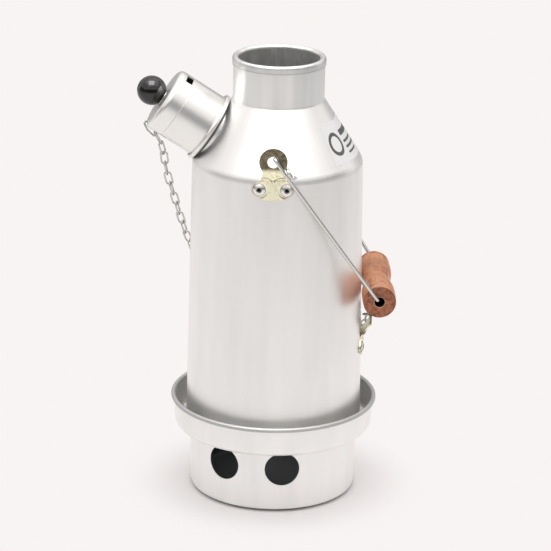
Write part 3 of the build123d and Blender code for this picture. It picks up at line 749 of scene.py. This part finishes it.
def makeLabelFilm():
    look = labelLook
    material, tree, shader, place = startMaterial("white label film", roughness=look["roughness"])
    parts = splitVector(tree, place)
    angle = doMath(tree, "ARCTAN2", parts[0], times(tree, parts[1], -1.0))
    along = addNode(tree, "ShaderNodeMapRange", {
        "Value": angle, "From Min": radians(look["from"]), "From Max": radians(look["to"])},
        clamp=False).outputs[0]
    up = addNode(tree, "ShaderNodeMapRange", {
        "Value": parts[2], "From Min": look["low"], "From Max": look["high"]}, clamp=False).outputs[0]
    bars = [inkBar(tree, along, up, *edges) for edges in look["bars"]]
    ringAlong, ringUp = look["ringMiddle"]
    offAlong = times(tree, doMath(tree, "SUBTRACT", along, ringAlong), look["ringStretch"])
    spot = joinVector(tree, offAlong, doMath(tree, "SUBTRACT", up, ringUp))
    ring = softStep(tree, apart(tree, lengthOf(tree, spot), look["ringRadius"]), *look["ringWidth"])
    inked = times(tree, largest(tree, *bars, ring), look["inkShare"])
    tree.links.new(blendColour(tree, inked, look["film"], look["ink"]), shader["Base Color"])
    grain = noise(tree, place, look["grainScale"], 3.0)
    rough = doMath(tree, "MULTIPLY_ADD", grain, look["grainRough"], look["smoothest"])
    tree.links.new(rough, shader["Roughness"])
    bumpFrom(tree, shader, grain, look["bump"], look["bumpDepth"])
    return material


labelFilm = makeLabelFilm()
print("wood, plastic, rubber and label made")

# What each carried node wears
nodeMaterials = {
    "fire_base": panMetal,
    "outer_shell": bodyMetal,
    "flue": flueMetal,
    "bottom_ring": bodyMetal,
    "spout_tube": spoutMetal,
    "bail_bracket_front": bailPlating,
    "bail_bracket_rear": bailPlating,
    "pour_bracket": pourPlating,
    "bracket_rivets": bright["rivet"],
    "rivet_mandrels": bright["mandrel"],
    "bail_wire": bright["wire"],
    "bail_grip": gripWood,
    "whistle_cup": capMetal,
    "seal_sleeve": sealRubber,
    "whistle_discs": bright["disc"],
    "disc_spacer": bright["disc"],
    "knob": knobPlastic,
    "knob_washer": bright["screw"],
    "knob_screw": bright["screw"],
    "cap_link": bright["chain"],
    "bracket_ring": bright["chain"],
    "label": labelFilm,
}
for name, material in nodeMaterials.items():
    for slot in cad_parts[name].material_slots:
        slot.material = material
print("carried nodes finished")

# Chain: oval wire links that follow one smooth line
chainLook = {
    "points": [
        (-77.6, -4.8, 237.3), (-72.9, -1.8, 229.5), (-70.8, 4.7, 209.6), (-65.5, 9.9, 190.6),
        (-60.9, 16.6, 171.8), (-55.1, 23.7, 153.6), (-48.7, 31.9, 136.0), (-41.8, 41.8, 119.5),
        (-30.8, 50.7, 104.6), (-15.9, 57.5, 92.3), (3.0, 59.9, 83.9), (22.9, 55.5, 81.1),
        (40.4, 44.4, 84.5), (51.5, 29.6, 93.3), (58.6, 15.1, 106.0), (62.1, 9.2, 113.6),
    ],
    "links": 36,
    "linkLength": 10.4 * mm,
    "linkWidth": 5.3 * mm,
    "wire": 1.1 * mm,
    "endRoom": 4.3 * mm,
    "firstTwist": 62.0,
    "twistLinks": 2.0,
    "length": 0.285,
    "lineSteps": 24,
    "filletShare": 0.49,
    "filletSteps": 7,
    "wireSteps": 10,
}


# The finished mesh of an object, which then goes
def takeMesh(maker):
    mesh = bpy.data.meshes.new_from_object(maker.evaluated_get(bpy.context.evaluated_depsgraph_get()))
    bpy.data.objects.remove(maker)
    return mesh


def addObject(name, data):
    made = bpy.data.objects.new(name, data)
    bpy.context.scene.collection.objects.link(made)
    return made


def makeChainLine():
    curve = bpy.data.curves.new("chainLine", "CURVE")
    curve.dimensions = "3D"
    curve.resolution_u = chainLook["lineSteps"]
    spline = curve.splines.new("NURBS")
    spline.points.add(len(chainLook["points"]) - 1)
    for point, (x, y, z) in zip(spline.points, chainLook["points"]):
        point.co = (x * mm, y * mm, z * mm, 1)
    spline.order_u = 3
    spline.use_endpoint_u = True
    return takeMesh(addObject("chainLine", curve))


def makeChainTree():
    tree = bpy.data.node_groups.new("chain links on a line", "GeometryNodeTree")
    face = tree.interface
    face.new_socket("Geometry", in_out="INPUT", socket_type="NodeSocketGeometry")
    face.new_socket("Link count", in_out="INPUT", socket_type="NodeSocketInt")
    for label in ("Link length", "Link width", "Wire", "End room", "First twist", "Twist links"):
        face.new_socket(label, in_out="INPUT", socket_type="NodeSocketFloat")
    face.new_socket("Material", in_out="INPUT", socket_type="NodeSocketMaterial")
    face.new_socket("Geometry", in_out="OUTPUT", socket_type="NodeSocketGeometry")
    given = tree.nodes.new("NodeGroupInput").outputs
    result = tree.nodes.new("NodeGroupOutput")

    line = addNode(tree, "GeometryNodeMeshToCurve", {"Mesh": given["Geometry"]}).outputs[0]
    whole = addNode(tree, "GeometryNodeCurveLength", {0: line}).outputs[0]
    trim = addNode(tree, "GeometryNodeTrimCurve", {"Curve": line}, mode="LENGTH")
    lengthSockets = [socket for socket in trim.inputs if socket.name in ("Start", "End") and socket.enabled]
    tree.links.new(given["End room"], lengthSockets[0])
    tree.links.new(doMath(tree, "SUBTRACT", whole, given["End room"]), lengthSockets[1])
    spots = addNode(tree, "GeometryNodeCurveToPoints", {
        "Curve": trim.outputs[0], "Count": given["Link count"]}, mode="COUNT").outputs

    # A link turns a quarter round the line from the one before it
    way = doVector(tree, "NORMALIZE", spots["Tangent"])
    position = tree.nodes.new("GeometryNodeInputPosition").outputs[0]
    outward = doVector(tree, "NORMALIZE", doVector(tree, "MULTIPLY", position, (1, 1, 0)))
    across = doVector(tree, "NORMALIZE", doVector(tree, "CROSS_PRODUCT", way, outward))
    other = doVector(tree, "CROSS_PRODUCT", way, across)
    index = tree.nodes.new("GeometryNodeInputIndex").outputs[0]
    faded = doMath(tree, "SUBTRACT", 1.0, doMath(tree, "DIVIDE", index, given["Twist links"]))
    twist = times(tree, largest(tree, faded, 0.0), given["First twist"])
    turn = doMath(tree, "RADIANS", doMath(tree, "MULTIPLY_ADD", index, 90.0, twist))
    facing = doVector(tree, "ADD", doVector(tree, "SCALE", across, scale=doMath(tree, "COSINE", turn)),
                      doVector(tree, "SCALE", other, scale=doMath(tree, "SINE", turn)))
    stand = addNode(tree, "FunctionNodeAxesToRotation", {"Primary Axis": way, "Secondary Axis": facing},
                    primary_axis="X", secondary_axis="Z").outputs[0]

    # One link: a rounded oblong of wire
    straight = doMath(tree, "SUBTRACT", given["Link length"], given["Wire"])
    side = doMath(tree, "SUBTRACT", given["Link width"], given["Wire"])
    oblong = addNode(tree, "GeometryNodeCurvePrimitiveQuadrilateral", {
        "Width": straight, "Height": side}).outputs[0]
    rounded = addNode(tree, "GeometryNodeFilletCurve", {
        "Curve": oblong, "Radius": times(tree, side, chainLook["filletShare"]),
        "Count": chainLook["filletSteps"]}, mode="POLY").outputs[0]
    section = addNode(tree, "GeometryNodeCurvePrimitiveCircle", {
        "Resolution": chainLook["wireSteps"], "Radius": times(tree, given["Wire"], 0.5)}).outputs[0]
    link = addNode(tree, "GeometryNodeCurveToMesh", {"Curve": rounded, "Profile Curve": section}).outputs[0]
    placed = addNode(tree, "GeometryNodeInstanceOnPoints", {
        "Points": spots["Points"], "Instance": link, "Rotation": stand}).outputs[0]
    real = addNode(tree, "GeometryNodeRealizeInstances", {0: placed}).outputs[0]
    smooth = addNode(tree, "GeometryNodeSetShadeSmooth", {"Geometry": real}).outputs[0]
    dressed = addNode(tree, "GeometryNodeSetMaterial", {"Geometry": smooth, "Material": given["Material"]})
    tree.links.new(dressed.outputs[0], result.inputs[0])
    return tree


def makeChain():
    lineMesh = makeChainLine()
    path = [tuple(vertex.co) for vertex in lineMesh.vertices]
    carrier = addObject("chainCarrier", lineMesh)
    tree = makeChainTree()
    modifier = carrier.modifiers.new("links", "NODES")
    modifier.node_group = tree
    values = {
        "Link count": chainLook["links"],
        "Link length": chainLook["linkLength"],
        "Link width": chainLook["linkWidth"],
        "Wire": chainLook["wire"],
        "End room": chainLook["endRoom"],
        "First twist": chainLook["firstTwist"],
        "Twist links": chainLook["twistLinks"],
        "Material": bright["chain"],
    }
    for item in tree.interface.items_tree:
        if item.in_out == "INPUT" and item.name in values:
            modifier[item.identifier] = values[item.name]
    return addObject("capChain", takeMesh(carrier)), path


capChain, chainPath = makeChain()
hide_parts("chain_links")
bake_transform(capChain)
print("chain made", len(capChain.data.polygons), "faces")

# Floor, light and camera
stageLook = {
    "reach": 6.0,
    "floor": tone(248, 244, 243),
    "background": tone(248, 244, 243),
    "fadeFrom": 0.054,
    "fadeTo": 0.105,
    "ambient": 0.72,
}
softboxLook = {
    "name": "overhead softbox",
    "place": (0.05, -0.15, 2.1),
    "aim": (0, 0, 0),
    "width": 3.0,
    "height": 2.6,
    "power": 22.0,
}
cardLook = {  # grey studio surroundings that only reflections see, as low, high corners and a shade
    "frontWall": ((-3.0, -2.6, 0.0), (3.0, -2.6, 1.3), 0.12),
    "leftWall": ((-2.6, -2.6, 0.0), (-2.6, 0.6, 1.1), 0.22),
    "rightWall": ((2.6, -2.6, 0.0), (2.6, 0.6, 1.3), 0.14),
    "frontFloor": ((-3.0, -2.6, 0.002), (3.0, -0.90, 0.002), 0.70),
    "rightFloor": ((0.60, -0.90, 0.002), (2.6, 0.9, 0.002), 0.62),
    "leftFloor": ((-2.6, -0.90, 0.002), (-0.85, 0.6, 0.002), 0.70),
    "backWall": ((-3.0, 2.8, 0.0), (3.0, 2.8, 1.3), 0.30),
    "backFloor": ((-3.0, 0.90, 0.002), (3.0, 2.8, 0.002), 0.45),
    # window: a brightly glowing card that shows only in reflections, for the highlight from above
    "window": ((-0.70, -1.10, 2.0), (0.50, 0.15, 2.0), 7.0),
}


def seenRays(tree):
    rays = tree.nodes.new("ShaderNodeLightPath").outputs
    return largest(tree, rays["Is Camera Ray"], rays["Is Glossy Ray"], rays["Is Transmission Ray"])


def makeSheet(name, corners):
    mesh = bpy.data.meshes.new(name)
    mesh.from_pydata(corners, [], [(0, 1, 2, 3)])
    return addObject(name, mesh)


def makeFloor():
    reach = stageLook["reach"]
    corners = [(-reach, -reach, 0), (reach, -reach, 0), (reach, reach, 0), (-reach, reach, 0)]
    floor = makeSheet("floor", corners)
    material, tree, shader, place = startMaterial("pale floor", roughness=0.9, Specular_IOR_Level=0.1)
    shader["Base Color"].default_value = (*stageLook["floor"], 1)
    away = softStep(tree, radiusOf(tree, place), stageLook["fadeFrom"], stageLook["fadeTo"])
    plain = addNode(tree, "ShaderNodeEmission", {"Color": (*stageLook["background"], 1), "Strength": 1.0})
    mixed = addNode(tree, "ShaderNodeMixShader", {
        0: times(tree, away, seenRays(tree)),
        1: tree.nodes["Principled BSDF"].outputs[0],
        2: plain.outputs[0],
    })
    tree.links.new(mixed.outputs[0], tree.nodes["Material Output"].inputs[0])
    floor.data.materials.append(material)


def makeCard(name, low, high, shade):
    (x0, y0, z0), (x1, y1, z1) = low, high
    if y0 == y1:
        corners = [(x0, y0, z0), (x1, y0, z0), (x1, y0, z1), (x0, y0, z1)]
    elif x0 == x1:
        corners = [(x0, y0, z0), (x0, y1, z0), (x0, y1, z1), (x0, y0, z1)]
    else:
        corners = [(x0, y0, z0), (x1, y0, z0), (x1, y1, z0), (x0, y1, z0)]
    card = makeSheet(name, corners)
    material = bpy.data.materials.new(name + " grey")
    material.use_nodes = True
    tree = material.node_tree
    tree.nodes.remove(tree.nodes["Principled BSDF"])
    glow = addNode(tree, "ShaderNodeEmission", {"Color": (shade, shade, shade, 1), "Strength": 1.0})
    tree.links.new(glow.outputs[0], tree.nodes["Material Output"].inputs[0])
    card.data.materials.append(material)
    card.visible_camera = False
    card.visible_diffuse = False
    card.visible_shadow = False
    card.visible_transmission = False


def makeWorld():
    world = bpy.data.worlds.new("studio")
    bpy.context.scene.world = world
    world.use_nodes = True
    tree = world.node_tree
    tree.nodes.clear()
    shown = addNode(tree, "ShaderNodeBackground", {"Color": (*stageLook["background"], 1), "Strength": 1.0})
    lit = addNode(tree, "ShaderNodeBackground", {"Color": (1, 1, 1, 1), "Strength": stageLook["ambient"]})
    mixed = addNode(tree, "ShaderNodeMixShader", {0: seenRays(tree), 1: lit.outputs[0], 2: shown.outputs[0]})
    output = tree.nodes.new("ShaderNodeOutputWorld")
    tree.links.new(mixed.outputs[0], output.inputs[0])


def makeSoftbox():
    look = softboxLook
    light = bpy.data.lights.new(look["name"], "AREA")
    light.shape = "RECTANGLE"
    light.size = look["width"]
    light.size_y = look["height"]
    light.energy = look["power"]
    lamp = addObject(look["name"], light)
    lamp.location = look["place"]
    lamp.rotation_euler = (Vector(look["aim"]) - Vector(look["place"])).to_track_quat("-Z", "Y").to_euler()


cameraLook = {
    "pitch": 0.3353,
    "roll": 0.018,
    "sensor": 36.0,
    "lens": 184.70,
    "clipEnd": 50.0,
    "place": (0, -1.71504, 0.73969),
}


def makeCamera():
    pitch = cameraLook["pitch"]
    roll = cameraLook["roll"]
    camera = bpy.data.cameras.new("camera")
    camera.sensor_width = cameraLook["sensor"]
    camera.lens = cameraLook["lens"]
    camera.clip_end = cameraLook["clipEnd"]
    holder = addObject("camera", camera)
    right = Vector((1, 0, 0))
    up = Vector((0, sin(pitch), cos(pitch)))
    ahead = Vector((0, cos(pitch), -sin(pitch)))
    axisX = right * cos(roll) + up * sin(roll)
    axisY = -right * sin(roll) + up * cos(roll)
    turn = Matrix((axisX, axisY, -ahead)).transposed().to_4x4()
    holder.matrix_world = Matrix.Translation(cameraLook["place"]) @ turn
    bpy.context.scene.camera = holder


makeFloor()
for name, (low, high, shade) in cardLook.items():
    makeCard(name, low, high, shade)
makeWorld()
makeSoftbox()
makeCamera()
bpy.context.scene.view_settings.view_transform = "Standard"
print("stage made")
